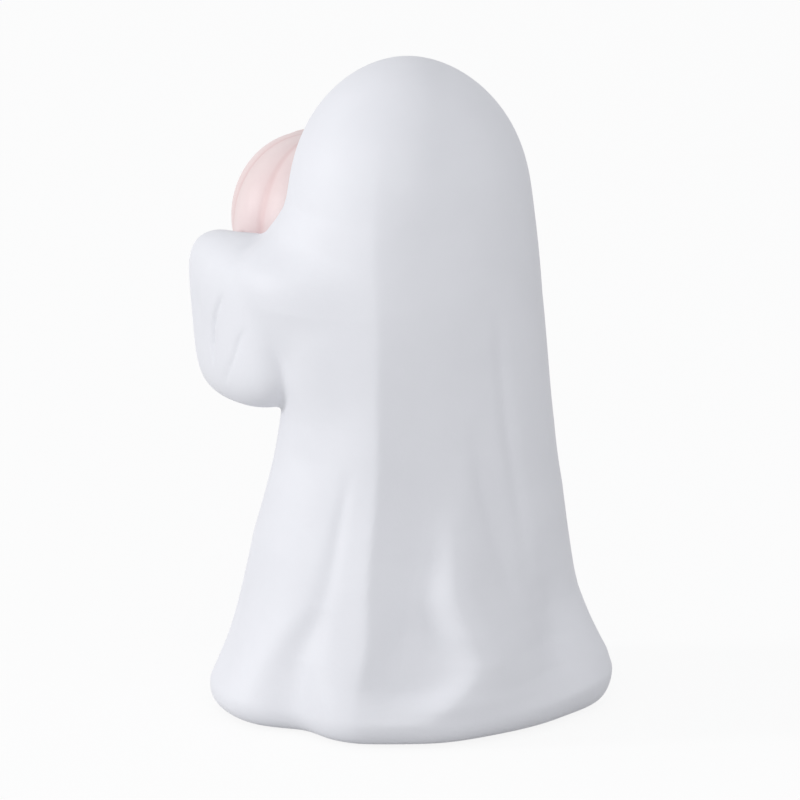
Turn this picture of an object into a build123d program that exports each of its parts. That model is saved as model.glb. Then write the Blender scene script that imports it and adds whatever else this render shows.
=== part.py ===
from build123d import *
import math
import os

# A ceramic ghost: a sheet draped over a round head, with a pumpkin hugged in its sleeves.
# Millimetres, +Z up. The ghost faces -Y and its left is +X.
# The origin is on the table, under the middle of the foot.

# Draped body, by its level sections from the foot to the crown
height = 150.0            # table to the top of the head
head_rise = 38.0          # line where the dome of the head starts to its top
head_width = 56.8
head_depth = 55.0
chest_height = 94.0
chest_width = 60.6
waist_height = 64.0
waist_width = 63.4
knee_height = 33.0
knee_width = 74.0
flare_height = 15.0
flare_width = 84.6
hem_height = 6.2          # height of the hem's widest line
hem_width = 91.6
hem_depth = 79.0
foot_inset = 4.4          # how far the foot stands in from the hem's widest line
wall = 4.0
lute = 0.2                # film of slip between two pieces that are stuck together

# Folds of the sheet by their stations, from the hem up: height, plan angle, outward push,
# and the half widths in degrees before and after that angle
folds = {
    "back_ridge": (
        (6.0, 45.0, 0.8, 12.0, 12.0),
        (20.0, 47.0, 1.5, 11.0, 11.0),
        (48.0, 48.0, 2.0, 13.0, 9.0),
        (65.0, 49.0, 2.0, 20.0, 9.0),
        (95.0, 48.0, 1.0, 20.0, 10.0),
        (138.0, 46.0, 0.0, 16.0, 12.0),
    ),
    "back_valley": (
        (6.0, 57.0, -0.2, 8.0, 10.0),
        (18.0, 58.0, -1.5, 8.0, 12.0),
        (25.0, 62.0, -1.5, 8.0, 13.0),
        (44.0, 66.0, -0.5, 8.0, 8.0),
        (85.0, 62.0, 0.0, 8.0, 8.0),
    ),
    "back_bulge": (
        (6.0, 89.0, 1.0, 16.0, 10.0),
        (18.0, 92.0, 5.0, 18.0, 9.0),
        (25.0, 91.0, 5.0, 17.0, 8.0),
        (42.0, 83.0, 2.6, 10.0, 9.0),
        (55.0, 78.0, 0.0, 8.0, 8.0),
    ),
    "right_groove": (
        (6.0, 118.0, -1.0, 13.0, 13.0),
        (25.0, 117.0, -2.6, 12.0, 12.0),
        (42.0, 104.0, -1.4, 8.0, 8.0),
        (74.0, 91.0, 0.0, 8.0, 8.0),
    ),
    "right_flare": (
        (6.0, 149.0, 3.0, 16.0, 16.0),
        (12.0, 149.0, 3.3, 15.0, 15.0),
        (22.0, 149.0, 0.8, 14.0, 14.0),
        (40.0, 149.0, 0.0, 14.0, 14.0),
    ),
    "right_hip": (
        (30.0, 150.0, 0.0, 45.0, 45.0),
        (50.0, 150.0, 1.1, 45.0, 45.0),
        (65.0, 150.0, 1.1, 45.0, 45.0),
        (95.0, 150.0, 0.0, 45.0, 45.0),
    ),
    "left_groove": (
        (6.0, 21.0, -4.6, 13.0, 13.0),
        (17.6, 21.5, -2.4, 9.0, 9.0),
        (46.0, 33.5, -1.2, 8.0, 8.0),
        (62.0, 37.0, 0.0, 8.0, 8.0),
    ),
    "left_waist": (
        (40.0, -28.0, 0.0, 45.0, 45.0),
        (70.0, -28.0, -2.5, 45.0, 45.0),
        (90.0, -28.0, 0.0, 45.0, 45.0),
    ),
    "left_shoulder": (
        (98.0, -38.0, 0.0, 22.0, 22.0),
        (106.0, -38.0, 5.8, 22.0, 22.0),
        (118.0, -38.0, 0.0, 22.0, 22.0),
    ),
    "right_shoulder": (
        (98.0, 218.0, 0.0, 22.0, 22.0),
        (106.0, 218.0, 5.8, 22.0, 22.0),
        (118.0, 218.0, 0.0, 22.0, 22.0),
    ),
    "left_arm_root": (
        (72.0, -4.0, 0.0, 14.0, 14.0),
        (86.0, -4.0, 1.6, 14.0, 18.0),
        (100.0, -4.0, 4.4, 16.0, 24.0),
        (118.0, -4.0, 0.0, 18.0, 26.0),
    ),
    "right_arm_root": (
        (84.0, 186.0, 0.0, 12.0, 14.0),
        (100.0, 186.0, 3.0, 12.0, 16.0),
        (116.0, 186.0, 0.0, 12.0, 16.0),
    ),
    "front_right_ridge": (
        (6.0, 190.0, 2.0, 13.0, 13.0),
        (70.0, 188.0, 0.0, 8.0, 8.0),
    ),
    "front_right_groove": (
        (6.0, 212.0, -2.0, 8.0, 8.0),
        (52.0, 206.0, 0.0, 8.0, 8.0),
    ),
    "front_ridge": (
        (6.0, 232.0, 2.0, 11.0, 11.0),
        (58.0, 228.0, 0.0, 8.0, 8.0),
    ),
    "front_groove": (
        (6.0, 250.0, -1.8, 8.0, 8.0),
        (60.0, 255.0, 0.0, 8.0, 8.0),
    ),
    "front_bulge": (
        (6.0, 270.0, 2.4, 12.0, 12.0),
        (74.0, 268.0, 0.0, 8.0, 8.0),
    ),
    "front_left_groove": (
        (6.0, 300.0, -1.6, 8.0, 8.0),
        (48.0, 295.0, 0.0, 8.0, 8.0),
    ),
    "front_left_ridge": (
        (6.0, 326.0, 1.4, 12.0, 12.0),
        (50.0, 322.0, 0.0, 8.0, 8.0),
    ),
}

# Foot: base disc with the casting hole, felt ring and stopper
foot_ring = 7.0           # width of the ceramic foot round the base disc
floor_thick = 4.0
felt_outer = 54.0
felt_inner = 30.0
felt_thick = 1.6
felt_proud = 0.4          # felt that stands below the ceramic foot
hole_width = 16.0
flange_width = 22.0
flange_thick = 2.0
flange_slack = 0.6        # room round the flange in its counterbore
flange_lift = 0.8         # underside of the flange above the table
flange_gap = 0.1          # flange to the roof of its counterbore
plug_slack = 0.05         # running clearance of the plug in the hole, on each side
plug_reach = 4.0          # tapered tip of the plug, above the floor
plug_taper = 1.2          # how much narrower the tip is, on each side
grip_width = 3.0          # bar across the dish in the flange, to pull by
grip_depth = 1.0
grip_rim = 1.8

# Sleeves: the sheet hanging over each bent arm
sleeve_bottom = 68.4
sleeve_top = 107.4
sleeve_side = 28.5        # middle of the sleeve beside the body's axis
sleeve_thick = 23.8
sleeve_front_low = 38.5   # how far before the body's axis the sleeve ends in front, at its bottom
sleeve_front_high = 46.9  # and at its top
sleeve_rear_low = 3.0     # how far before that axis it ends behind, at its bottom
sleeve_rear_high = 2.0    # and at its top
sleeve_yaw = 6.0          # degrees that the arm turns in towards the pumpkin
sleeve_fullness = 4.2     # power of its side line: 2 is an ellipse, more is fuller
sleeve_wall = 3.5

# Pumpkin
pumpkin_width = 43.0
pumpkin_height = 40.0
pumpkin_reach = 41.2      # its axis in front of the body's axis
pumpkin_level = 103.2     # height of its middle
pumpkin_wall = 3.5
lobe_count = 9
lobe_radius = 18.0
groove_depth = 1.5

# Stem, with its heights above the pumpkin's middle
stem_width = 5.0
stem_tip_width = 3.8
stem_root = 15.5
stem_neck = 20.2
stem_tip = 24.2
stem_lean = 1.2           # to the ghost's right
stem_slack = 0.15

# Eyes: dark ovals inlaid in the head
eye_width = 6.4
eye_height = 9.0
eye_spacing = 18.0
eye_level = 131.5
eye_sink = 2.0            # depth of the socket in the skin
eye_proud = 0.5
eye_round = 0.8
eye_slack = 0.12

# Vents, which let air out of the luted hollows in the kiln
vent_width = 5.0
sleeve_vent_level = 90.0
sleeve_vent_reach = 14.0

# How finely the curved skins are drawn
section_count = 30
section_points = 72
sleeve_steps = (0.02, 0.08, 0.18, 0.34, 0.5, 0.66, 0.82, 0.92, 0.98)
points_per_lobe = 8
rind_turns = (-90.0, -72.0, -50.0, -25.0, 0.0, 25.0, 50.0, 72.0, 90.0)

# Heights that follow from the sizes above
foot_level = felt_proud
head_level = height - head_rise
counterbore_level = flange_lift + flange_thick + flange_gap
floor_level = counterbore_level + floor_thick
mouth_half_width = hem_width / 2 - foot_inset - foot_ring
mouth_half_depth = hem_depth / 2 - foot_inset - foot_ring

# Side line of the body, from the foot round the hem and up over the crown
with BuildLine(Plane.XZ) as side_line:
    Spline(
        (hem_width / 2 - foot_inset, foot_level),
        (hem_width / 2, hem_height),
        (flare_width / 2, flare_height),
        (knee_width / 2, knee_height),
        (waist_width / 2, waist_height),
        (chest_width / 2, chest_height),
        (head_width / 2, head_level),
    )
    EllipticalCenterArc((0, head_level), head_width / 2, head_rise, arc_size=90)


def fold_station(stations, level):
    # One fold at a height, on straight lines between its stations and held beyond both ends
    low = stations[0]
    high = stations[0]
    for high in stations:
        if high[0] >= level:
            break
        low = high
    gap = high[0] - low[0]
    share = min(max((level - low[0]) / gap, 0.0), 1.0) if gap > 0 else 0.0
    return [one + (other - one) * share for one, other in zip(low, high)]


def fold_push(angle, level):
    # Outward push of the folds at a plan angle and a height
    push = 0.0
    for stations in folds.values():
        _, middle, depth, before, after = fold_station(stations, level)
        apart = (angle - middle + 180.0) % 360.0 - 180.0
        spread = after if apart > 0 else before
        push += depth * math.exp(-((apart / spread) ** 2))
    return push


def drape_sections(inset):
    # Level sections of the body, drawn in by an inset, up to the point of the crown
    line = side_line.wire()
    hem_share = hem_depth / hem_width
    head_share = head_depth / head_width
    sections = []
    for row in range(section_count):
        along = (1.0 - math.cos(math.pi * row / section_count)) / 2
        spot = line.position_at(along)
        heading = line.tangent_at(along)
        rise = min(max((spot.Z - hem_height) / (head_level - hem_height), 0.0), 1.0)
        depth_share = hem_share + (head_share - hem_share) * rise
        half_width = spot.X - inset * heading.Z
        half_depth = spot.X * depth_share - inset * heading.Z
        outline = []
        for step in range(section_points):
            angle = 360.0 * step / section_points
            push = fold_push(angle, spot.Z)
            turn = math.radians(angle)
            outline.append(((half_width + push) * math.cos(turn), (half_depth + push) * math.sin(turn)))
        with BuildSketch(Plane.XY.offset(spot.Z + inset * heading.X)) as section:
            with BuildLine():
                Spline(*outline, periodic=True)
            make_face()
        sections.append(section.sketch)
    return sections + [Vertex(0, 0, height - inset)]


def rind_sections(grow):
    # Lobed sections of the pumpkin, from its underside over the shoulders to its top
    orbit = pumpkin_width / 2 - lobe_radius
    count = lobe_count * points_per_lobe
    sections = []
    for turn in rind_turns:
        lean = math.radians(turn)
        level = pumpkin_level + (pumpkin_height / 2 + grow) * math.sin(lean)
        radius = orbit + (lobe_radius + grow) * math.cos(lean)
        outline = []
        for step in range(count):
            angle = 2.0 * math.pi * step / count
            groove = 1.0 - abs(math.cos(lobe_count * angle / 2))
            reach = radius * (1.0 - groove * groove_depth / (pumpkin_width / 2))
            outline.append((reach * math.cos(angle), reach * math.sin(angle)))
        with BuildSketch(Plane((0, -pumpkin_reach, level))) as section:
            with BuildLine():
                Spline(*outline, periodic=True)
            make_face()
        sections.append(section.sketch)
    return sections


def sleeve_sections(side, inset):
    # Oval sections of one sleeve, with the points that close it below and above
    bottom = sleeve_bottom + inset
    rise = sleeve_top - sleeve_bottom - 2 * inset

    def ends(step):
        front = sleeve_front_low + (sleeve_front_high - sleeve_front_low) * step
        rear = sleeve_rear_low + (sleeve_rear_high - sleeve_rear_low) * step
        return front, rear

    def middle(step):
        return (side * sleeve_side, -sum(ends(step)) / 2, bottom + step * rise)

    sections = [Vertex(*middle(0.0))]
    for step in sleeve_steps:
        swell = math.sqrt(1.0 - abs(2 * step - 1.0) ** sleeve_fullness)
        front, rear = ends(step)
        with BuildSketch(Plane(middle(step))) as section:
            Ellipse(
                (sleeve_thick / 2 - inset) * swell,
                ((front - rear) / 2 - inset) * swell,
                rotation=-side * sleeve_yaw,
            )
        sections.append(section.sketch)
    return sections + [Vertex(*middle(1.0))]


def eye_plane(side):
    # Plane that touches the head's skin at the middle of one eye, facing out
    across = side * eye_spacing / 2
    lift = eye_level - head_level
    left_over = 1.0 - (2 * across / head_width) ** 2 - (lift / head_rise) ** 2
    along = -head_depth / 2 * math.sqrt(left_over)
    normal = Vector(across / head_width ** 2, along / head_depth ** 2, lift / (2 * head_rise) ** 2)
    return Plane((across, along, eye_level), x_dir=Vector(-normal.Y, normal.X, 0), z_dir=normal)


def keep(piece, name):
    # Label a finished piece and write it under its name
    piece.label = name
    export_step(piece, "parts/" + name + ".step")


os.makedirs("parts", exist_ok=True)

# Outer form of the body, which its neighbours are cut to
with BuildPart() as draped_form:
    loft(sections=drape_sections(0.0), ruled=True)

# Inside of the body, above its floor
with BuildPart() as drained_hollow:
    loft(sections=drape_sections(wall), ruled=True)
    split(bisect_by=Plane.XY.offset(floor_level), keep=Keep.TOP)

# Outer form of the pumpkin
with BuildPart() as pumpkin_form:
    loft(sections=rind_sections(0.0))

with BuildPart() as body_shell:
    add(draped_form.part)
    add(drained_hollow.part, mode=Mode.SUBTRACT)
    # Mouth of the shell, inside the foot
    with BuildSketch(Plane.XY.offset(foot_level)):
        Ellipse(mouth_half_width, mouth_half_depth)
    extrude(amount=floor_level - foot_level, mode=Mode.SUBTRACT)
    # Vents behind the pumpkin and the sleeves
    with BuildSketch(Plane.XZ):
        with Locations((0, pumpkin_level)):
            Circle(vent_width / 2)
    extrude(amount=pumpkin_reach, mode=Mode.SUBTRACT)
    with BuildSketch(Plane.YZ):
        with Locations((-sleeve_vent_reach, sleeve_vent_level)):
            Circle(vent_width / 2)
    extrude(amount=sleeve_side, both=True, mode=Mode.SUBTRACT)
    # Eye sockets
    for side in (1, -1):
        with BuildSketch(eye_plane(side).offset(-eye_sink)):
            SlotCenterToCenter(eye_height - eye_width, eye_width + 2 * eye_slack, rotation=90)
        extrude(amount=eye_sink + head_rise / 2, mode=Mode.SUBTRACT)
keep(body_shell.part, "body_shell")

with BuildPart() as pumpkin:
    add(pumpkin_form.part)
    loft(sections=rind_sections(-pumpkin_wall), mode=Mode.SUBTRACT)
    with Locations((0, -lute, 0)):
        add(draped_form.part, mode=Mode.SUBTRACT)
    with BuildSketch(Plane((0, -pumpkin_reach, pumpkin_level))):
        Circle(stem_width / 2 + stem_slack)
    extrude(amount=pumpkin_height, mode=Mode.SUBTRACT)
keep(pumpkin.part, "pumpkin")

with BuildPart() as pumpkin_stem:
    with BuildSketch(Plane((0, -pumpkin_reach, pumpkin_level + stem_root))):
        Circle(stem_width / 2)
    extrude(amount=stem_neck - stem_root)
    with BuildSketch(Plane((0, -pumpkin_reach, pumpkin_level + stem_neck))):
        Circle(stem_width / 2)
    with BuildSketch(Plane((-stem_lean, -pumpkin_reach, pumpkin_level + stem_tip))):
        Circle(stem_tip_width / 2)
    loft()
keep(pumpkin_stem.part, "pumpkin_stem")

for side_name, side in (("left", 1), ("right", -1)):
    with BuildPart() as sleeve:
        loft(sections=sleeve_sections(side, 0.0), ruled=True)
        loft(sections=sleeve_sections(side, sleeve_wall), ruled=True, mode=Mode.SUBTRACT)
        with Locations((side * lute, 0, 0)):
            add(draped_form.part, mode=Mode.SUBTRACT)
            add(pumpkin_form.part, mode=Mode.SUBTRACT)
    keep(sleeve.part, side_name + "_sleeve")
    with BuildPart() as eye:
        with BuildSketch(eye_plane(side).offset(-eye_sink)):
            SlotCenterToCenter(eye_height - eye_width, eye_width, rotation=90)
        extrude(amount=eye_sink + eye_proud)
        fillet(eye.faces().sort_by(Axis((0, 0, 0), eye_plane(side).z_dir))[-1].edges(), radius=eye_round)
    keep(eye.part, side_name + "_eye")

with BuildPart() as base_disc:
    with BuildSketch(Plane.XY.offset(felt_thick)):
        Ellipse(mouth_half_width - lute, mouth_half_depth - lute)
    extrude(amount=floor_level - felt_thick)
    # Counterbore for the flange, then the casting hole
    with BuildSketch(Plane.XY.offset(felt_thick)):
        Circle(flange_width / 2 + flange_slack)
    extrude(amount=counterbore_level - felt_thick, mode=Mode.SUBTRACT)
    with BuildSketch(Plane.XY.offset(counterbore_level)):
        Circle(hole_width / 2)
    extrude(amount=floor_thick, mode=Mode.SUBTRACT)
keep(base_disc.part, "base_disc")

with BuildPart() as felt_ring:
    with BuildSketch(Plane.XY):
        Circle(felt_outer / 2)
        Circle(felt_inner / 2, mode=Mode.SUBTRACT)
    extrude(amount=felt_thick)
keep(felt_ring.part, "felt_ring")

with BuildPart() as base_stopper:
    with BuildSketch(Plane.XZ):
        with BuildLine():
            Polyline(
                (0, flange_lift),
                (flange_width / 2, flange_lift),
                (flange_width / 2, flange_lift + flange_thick),
                (hole_width / 2 - plug_slack, flange_lift + flange_thick),
                (hole_width / 2 - plug_slack, floor_level),
                (hole_width / 2 - plug_slack - plug_taper, floor_level + plug_reach),
                (0, floor_level + plug_reach),
                close=True,
            )
        make_face()
    revolve(axis=Axis.Z)
    # Dish in the underside, with a bar across it to pull by
    with BuildSketch(Plane.XY.offset(flange_lift)):
        Circle(flange_width / 2 - grip_rim)
        Rectangle(flange_width, grip_width, mode=Mode.SUBTRACT)
    extrude(amount=grip_depth, mode=Mode.SUBTRACT)
keep(base_stopper.part, "base_stopper")
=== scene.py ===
import math
import bmesh
import bpy
import numpy as np
import openvdb
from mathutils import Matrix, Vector


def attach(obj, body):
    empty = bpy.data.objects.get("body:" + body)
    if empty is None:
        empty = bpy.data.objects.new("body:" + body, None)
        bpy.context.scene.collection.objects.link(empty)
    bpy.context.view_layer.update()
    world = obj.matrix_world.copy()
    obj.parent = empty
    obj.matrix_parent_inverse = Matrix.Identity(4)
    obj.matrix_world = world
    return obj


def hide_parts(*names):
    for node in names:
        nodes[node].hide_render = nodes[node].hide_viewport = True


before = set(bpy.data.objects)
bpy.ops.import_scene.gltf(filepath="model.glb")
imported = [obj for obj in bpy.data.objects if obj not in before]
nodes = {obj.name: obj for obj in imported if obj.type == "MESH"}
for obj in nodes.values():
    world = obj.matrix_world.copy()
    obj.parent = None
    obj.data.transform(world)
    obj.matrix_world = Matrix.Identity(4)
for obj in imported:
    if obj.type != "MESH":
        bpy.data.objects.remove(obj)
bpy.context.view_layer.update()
mm = 0.001  # shapes are worked out in millimetres and put down in metres
farOutside = 9.0  # value of a clay field beyond its grid
print("frame loaded:", len(nodes), "nodes")


# Helpers for shaping clay as a field: negative inside, positive outside

def smoothLine(places, values, at):
    # even curve through the stations, held level beyond both ends
    places = np.asarray(places, float)
    values = np.asarray(values, float)
    gaps = np.diff(places)
    count = len(places)
    system = np.eye(count)
    bends = np.zeros(count)
    for i in range(1, count - 1):
        system[i, i - 1:i + 2] = gaps[i - 1], 2 * (gaps[i - 1] + gaps[i]), gaps[i]
        bends[i] = 6 * ((values[i + 1] - values[i]) / gaps[i] - (values[i] - values[i - 1]) / gaps[i - 1])
    bends = np.linalg.solve(system, bends)
    at = np.clip(np.asarray(at, float), places[0], places[-1])
    spot = np.clip(np.searchsorted(places, at) - 1, 0, count - 2)
    gap = gaps[spot]
    after = at - places[spot]
    before = gap - after
    curve = (bends[spot] * before ** 3 + bends[spot + 1] * after ** 3) / (6 * gap)
    curve += (values[spot] / gap - bends[spot] * gap / 6) * before
    curve += (values[spot + 1] / gap - bends[spot + 1] * gap / 6) * after
    return curve


def easeStep(low, high, at):
    t = np.clip((at - low) / (high - low), 0, 1)
    return t * t * (3 - 2 * t)


def foldPush(folds, turn, height, crests):
    # outward push of all the folds at a turn in degrees and a height; a crest under 2 is sharper
    push = 0.0
    for name, stations in folds.items():
        levels, turns, depths, before, *after = zip(*stations)
        line = smoothLine(levels, turns, height)
        depth = np.interp(height, levels, depths)
        apart = (turn - line + 180) % 360 - 180
        width = np.interp(height, levels, before)
        if after:
            width = np.where(apart > 0, np.interp(height, levels, after[0]), width)
        push = push + depth * np.exp(-np.abs(apart / width) ** crests.get(name, 2))
    return push


def mergeSoft(one, other, reach):
    # join of two forms with a fillet of about this reach
    near = np.maximum(reach - np.abs(one - other), 0) / reach
    return np.minimum(one, other) - near * near * reach / 4


def clayPoints(low, high, voxel):
    steps = [np.arange(a, b, voxel) for a, b in zip(low, high)]
    return np.meshgrid(*steps, indexing="ij", sparse=True)


def clayMesh(name, field, low, voxel):
    # skin of the field as a quad mesh in metres
    grid = openvdb.FloatGrid(farOutside)
    grid.copyFromArray(np.ascontiguousarray(field, np.float32))
    points, quads = grid.convertToQuads(isovalue=0.0)
    mesh = bpy.data.meshes.new(name)
    mesh.from_pydata(((points * voxel + np.array(low)) * mm).tolist(), [], quads.tolist())
    skin = bmesh.new()
    skin.from_mesh(mesh)
    if skin.calc_volume(signed=True) < 0:
        bmesh.ops.reverse_faces(skin, faces=skin.faces[:])
    skin.to_mesh(mesh)
    skin.free()
    mesh.polygons.foreach_set("use_smooth", np.ones(len(mesh.polygons), bool))
    mesh.update()
    return mesh


def putDown(mesh, body="figure"):
    piece = bpy.data.objects.new(mesh.name, mesh)
    bpy.context.scene.collection.objects.link(piece)
    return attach(piece, body)


def ringMesh(name, rings):
    # closed skin through rings of points, all with the same count
    count = len(rings[0])
    points = np.concatenate(rings)
    faces = []
    for row in range(len(rings) - 1):
        for i in range(count):
            j = (i + 1) % count
            faces.append((row * count + i, row * count + j, (row + 1) * count + j, (row + 1) * count + i))
    faces.append(tuple(reversed(range(count))))
    faces.append(tuple(range(len(points) - count, len(points))))
    mesh = bpy.data.meshes.new(name)
    mesh.from_pydata((points * mm).tolist(), [], faces)
    mesh.polygons.foreach_set("use_smooth", np.ones(len(faces), bool))
    mesh.update()
    return mesh


def readAll(items, what, kind=int, width=1):
    # one property of all the items of a mesh as an array
    values = np.empty(len(items) * width, kind)
    items.foreach_get(what, values)
    return values.reshape(-1, width) if width > 1 else values


# Drape: the sheet over the head and down to the hem

drape = {
    "levels": (6, 15, 24, 40, 60, 80, 100, 117, 125, 150),  # heights of the sections below
    "halfWidths": (45.2, 42.0, 39.4, 36.1, 32.7, 31.2, 29.9, 28.0, 26.9, 23.2),
    "hemShare": 0.862,  # depth over width at the hem
    "headShare": 0.970,  # and at the head
    "hemLevel": 6.0,  # widest line of the hem
    "footLevel": 0.45,
    "footInset": 4.2,  # how far the foot stands in from that line
    "curlTurn": 158.0,  # the hem curls up on this side
    "curlSpread": 22.0,
    "curlLift": 2.2,
    "curlInset": 0.7,
    "tuckTurn": 92.0,  # the foot is tucked in under the bulge at the back
    "tuckSpread": 20.0,
    "tuckInset": 0.8,
    "lowTurn": -28.0,  # the hem lies low on this side
    "lowSpread": 40.0,
    "lowDrop": 1.8,
    "lowInset": 1.2,
    "domeFrom": 118.0,
    "top": 149.7,
    "domeFullness": 2.65,  # fullness of the dome's sides
    "crownFullness": 1.88,  # and of its crown
    "crownLean": (0.5, -0.3),  # the crown leans forward and to its left
    # height and push out of the sheet over a shoulder
    "shoulderRise": ((98, 0.0), (104, 5.4), (107, 4.9), (109.5, 3.4), (112, 1.8), (115, 0.4), (118, 0.0)),
    "shoulderWidth": 22,
    "crests": {"backRidge": 1.35},  # folds with a sharper crest
    "wall": 4.0,
    "voxel": 0.7,  # grain of the clay grid, whose corners come next
    "low": (-49, -50, -2),
    "high": (49, 46, 152),
}


def shoulderFold(turn):
    # the sheet stands out over a shoulder at this turn
    return tuple((level, turn, push, drape["shoulderWidth"]) for level, push in drape["shoulderRise"])


# Folds of the sheet: (height, plan turn, push out, half width in degrees), from the hem up.
# A fifth number is the half width on the far side of a lopsided fold.
drapeFolds = {
    "backRidge": ((6, 45, 0.8, 12, 12), (12, 45, 1.6, 12, 12), (20, 47, 2.2, 11, 11), (34, 47, 2.7, 11, 10),
                  (48, 48, 2.6, 13, 9), (65, 49, 2.3, 20, 9), (80, 48.5, 1.7, 20, 9), (95, 48, 1.1, 20, 10),
                  (112, 46, 0.9, 18, 12), (125, 46, 0.6, 16, 12), (138, 46, 0.0, 16, 12)),
    "backValley": ((6, 57, -0.2, 8, 10), (12, 57, -1.0, 8, 11), (18, 58, -1.5, 8, 12), (25, 62, -1.5, 8, 13),
                   (34, 65, -1.0, 8, 11), (44, 66, -0.5, 8, 8), (65, 65, -0.4, 8, 8), (85, 62, 0.0, 8, 8)),
    "leftGroove": ((6, 21, -5.2, 13), (17.6, 21.5, -2.4, 8), (30, 29, -0.6, 4.5), (46, 33.5, -0.6, 3),
                   (55, 35.5, -0.4, 2.6), (62, 37, 0.0, 3)),
    "leftRidge": ((6, -18, 0.5, 14), (15, -20, -0.4, 14), (30, -24, 0.0, 12)),
    "backBulge": ((6, 78, 0.9, 12, 24), (10, 78, 3.0, 9, 26), (13, 83, 4.0, 10, 22), (18, 88, 5.3, 10.5, 15),
                  (25, 85, 5.7, 11, 12), (33, 80, 4.4, 11, 12), (42, 80, 2.6, 8, 11), (48, 81, 1.5, 8, 9),
                  (55, 84, 0.7, 8, 7), (65, 86, 0.0, 8, 6)),
    "hemLip": ((6, 66, 1.2, 20), (9, 66, 0.9, 20), (13, 66, -0.8, 20), (18, 66, 0.0, 20)),
    "rightGroove": ((14, 114, 0.0, 9, 12), (25, 112, -1.0, 9, 14), (34, 108, -1.6, 9, 16),
                    (42, 104, -1.4, 7, 16), (53, 97.5, -1.0, 4.5, 12), (65, 93.5, -0.5, 4, 8),
                    (74, 91, 0.0, 4, 6)),
    "flareGroove": ((6, 128, -0.2, 17, 12), (12, 129, -3.2, 18, 12), (18, 131, -4.0, 18, 10),
                    (25, 132, -3.0, 17, 10), (34, 128, -1.0, 12, 10), (45, 126, 0.0, 10, 10)),
    "faintGroove": ((30, 119, 0.0, 4), (53, 114.3, -0.7, 4), (69, 110.5, -0.8, 4), (88, 106.7, -0.5, 4),
                    (98, 105, 0.0, 4)),
    "rightFlare": ((6, 149, 3.0, 16), (12, 149, 3.3, 15), (19, 149, 1.8, 14), (26, 149, 0.4, 14),
                   (40, 149, 0.0, 14)),
    "leftShoulder": shoulderFold(-38),
    "rightShoulder": shoulderFold(218),
    "leftArmRoot": ((62, 10, 0.0, 14, 14), (72, 10, 1.0, 14, 18), (80, 10, 2.4, 14, 20),
                    (88, 8, 3.4, 14, 22), (96, 4, 3.9, 18, 26), (104, -2, 3.2, 18, 26),
                    (111, -4, 1.7, 18, 26), (118, -4, 0.0, 18, 26)),
    "rightArmRoot": ((78, 186, 0.0, 12, 14), (90, 186, 2.4, 12, 16), (98, 186, 2.9, 12, 16),
                     (104, 186, 2.6, 12, 16), (111, 186, 1.4, 12, 16), (116, 186, 0.0, 12, 16)),
    "rightHip": ((30, 150, 0.0, 45), (50, 150, 1.1, 45), (65, 150, 1.1, 45), (95, 150, 0.0, 45)),
    "leftWaist": ((40, -28, 0.0, 45), (58, -28, -1.7, 45), (70, -28, -2.5, 45), (90, -28, 0.0, 45)),
    "frontRightRidge": ((6, 190, 2.0, 13), (34, 189, 1.2, 10), (70, 188, 0.0, 8)),
    "frontRightGroove": ((6, 212, -2.0, 8), (24, 210, -1.4, 6), (52, 206, 0.0, 4)),
    "frontRidge": ((6, 232, 2.0, 11), (30, 230, 1.2, 9), (58, 228, 0.0, 7)),
    "frontGroove": ((6, 250, -1.8, 8), (30, 252, -1.3, 6), (60, 255, 0.0, 4)),
    "frontBulge": ((6, 270, 2.4, 12), (30, 269, 1.7, 9), (74, 268, 0.0, 7)),
    "frontLeftGroove": ((6, 300, -1.6, 8), (24, 298, -1.2, 6), (48, 295, 0.0, 4)),
    "frontLeftRidge": ((6, 326, 1.4, 12), (28, 324, 0.9, 10), (50, 322, 0.0, 8)),
}


def drapeRadius(turn, height):
    halfWidth = smoothLine(drape["levels"], drape["halfWidths"], height)
    lift = easeStep(drape["levels"][0], drape["levels"][-1], height)
    halfDepth = halfWidth * (drape["hemShare"] + (drape["headShare"] - drape["hemShare"]) * lift)
    angle = np.radians(turn)
    oval = halfWidth * halfDepth / np.hypot(halfDepth * np.cos(angle), halfWidth * np.sin(angle))
    return oval + foldPush(drapeFolds, turn, height, drape["crests"])


def nearTurn(turn, middle, spread):
    apart = (turn - middle + 180) % 360 - 180
    return np.exp(-(apart / spread) ** 2)


def domeRise(z):
    return np.maximum(z - drape["domeFrom"], 0) / (drape["top"] - drape["domeFrom"])


def drapeField(x, y, z):
    lean = domeRise(z) ** 2
    x = x - drape["crownLean"][0] * lean
    y = y - drape["crownLean"][1] * lean
    turn = np.degrees(np.arctan2(y, x))
    curl = nearTurn(turn, drape["curlTurn"], drape["curlSpread"])
    flat = nearTurn(turn, drape["lowTurn"], drape["lowSpread"])
    hem = drape["hemLevel"] + drape["curlLift"] * curl - drape["lowDrop"] * flat
    tuck = nearTurn(turn, drape["tuckTurn"], drape["tuckSpread"])
    inset = drape["footInset"] + drape["curlInset"] * curl
    inset = inset + drape["tuckInset"] * tuck + drape["lowInset"] * flat
    reach = np.hypot(x, y)
    radius = drapeRadius(turn, np.maximum(z, hem))
    power = drape["crownFullness"]
    dome = (((reach / radius) ** power + domeRise(z) ** drape["domeFullness"]) ** (1 / power) - 1) * radius
    down = (hem - z) / (hem - drape["footLevel"])
    lip = (np.hypot(np.maximum(reach - radius + inset, 0) / inset, down) - 1) * inset
    return np.where(z > hem, dome, lip)


# Sleeves: the sheet hanging over each bent arm

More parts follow.
